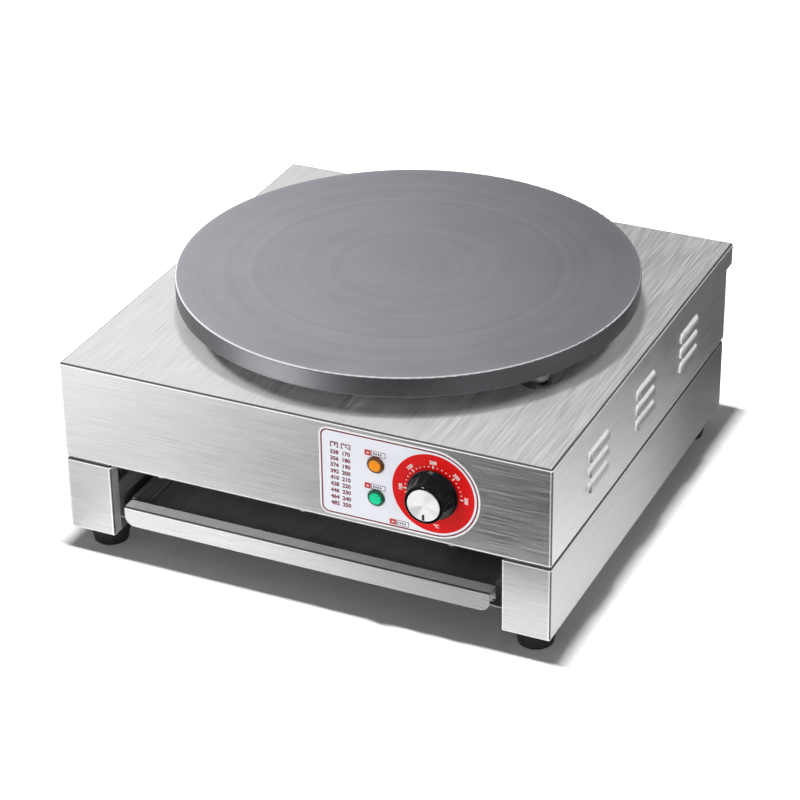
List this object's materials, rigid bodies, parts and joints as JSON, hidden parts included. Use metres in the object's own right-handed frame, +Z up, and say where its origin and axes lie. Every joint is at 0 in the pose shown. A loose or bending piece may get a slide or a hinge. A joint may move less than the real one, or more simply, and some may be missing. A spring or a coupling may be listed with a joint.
{
  "type": "electric crepe maker",
  "caption": "Counter-top electric crepe maker: round griddle plate raised over a folded stainless housing with a temperature knob, pilot lamps and a slide-out tray.",
  "frame": {"origin": "middle of the footprint, from knob to cable gland, at the height the feet stand on", "axes": "+Z up, the front with the controls and the tray handle faces -Y, +X is the side the knob is nearer to"},
  "size_m": [0.448, 0.4634, 0.214],
  "materials": {
    "housing_steel": "fine-line brushed stainless sheet",
    "griddle_iron": "turned and seasoned, satin",
    "bare_steel": "plain mill-finish steel",
    "fastener_zinc": "bright zinc plate",
    "element_sheath": "oxidised tube sheath",
    "insulation": "ceramic fibre felt",
    "copper": "drawn copper",
    "brass": "machined brass",
    "rubber_black": "moulded rubber",
    "wire_sheath": "silicone wire sheath",
    "knob_black": "polished phenolic",
    "black_plastic": "moulded",
    "bakelite": "moulded phenolic",
    "block_white": "moulded",
    "knob_cap_alloy": "spun bright",
    "label_film": "printed overlay film",
    "lens_amber": "ribbed lens",
    "lens_green": "ribbed lens"
  },
  "bodies": {
    "housing": {"amber_lens": "lens_amber", "bulb_clip": "bare_steel", "capillary_tube": "copper", "chassis_floor": "housing_steel", "clamp_bars": "bare_steel", "clamp_screws": "fastener_zinc", "clip_screw": "fastener_zinc", "control_label": "label_film", "deck_stiffeners": "bare_steel", "earth_nut": "fastener_zinc", "earth_stud": "brass", "element_terminals": "element_sheath", "floor_screws": "fastener_zinc", "foot_nuts": "fastener_zinc", "foot_screws": "fastener_zinc", "gland_body": "black_plastic", "gland_locknut": "black_plastic", "gland_nut": "black_plastic", "green_lens": "lens_green", "griddle_plate": "griddle_iron", "heat_shield": "bare_steel", "heating_elements": "element_sheath", "insulation_blanket": "insulation", "internal_wires": "wire_sheath", "lamp_bodies": "black_plastic", "lamp_nuts": "fastener_zinc", "left_leg_frame": "housing_steel", "left_tray_rail": "housing_steel", "leg_bolts": "fastener_zinc", "leg_nuts": "fastener_zinc", "plate_standoffs": "bare_steel", "plate_studs": "fastener_zinc", "rear_panel": "housing_steel", "rear_screws": "fastener_zinc", "rear_skirt": "housing_steel", "right_leg_frame": "housing_steel", "right_tray_rail": "housing_steel", "rubber_feet": "rubber_black", "sensor_bulb": "copper", "shield_screws": "fastener_zinc", "skirt_screws": "fastener_zinc", "stud_nuts": "fastener_zinc", "stud_washers": "fastener_zinc", "terminal_block": "block_white", "terminal_links": "brass", "terminal_nuts": "fastener_zinc", "terminal_screws": "fastener_zinc", "thermostat_body": "bakelite", "thermostat_screws": "fastener_zinc", "upper_housing": "housing_steel"},
    "tray": {"tray_pan": "housing_steel", "tray_handle": "housing_steel", "tray_rivets": "fastener_zinc"},
    "knob": {"knob": "knob_black", "knob_cap": "knob_cap_alloy", "thermostat_spindle": "bare_steel"}
  },
  "joints": [
    {"name": "tray_slide", "type": "slide", "parent": "housing", "child": "tray", "axis": [0, -1, 0], "range_m": [0, 0.3]},
    {"name": "knob_turn", "type": "hinge", "parent": "housing", "child": "knob", "pos_m": [0.12, -0.2122, 0.135], "axis": [0, 1, 0], "range_deg": [0, 270]}
  ]
}
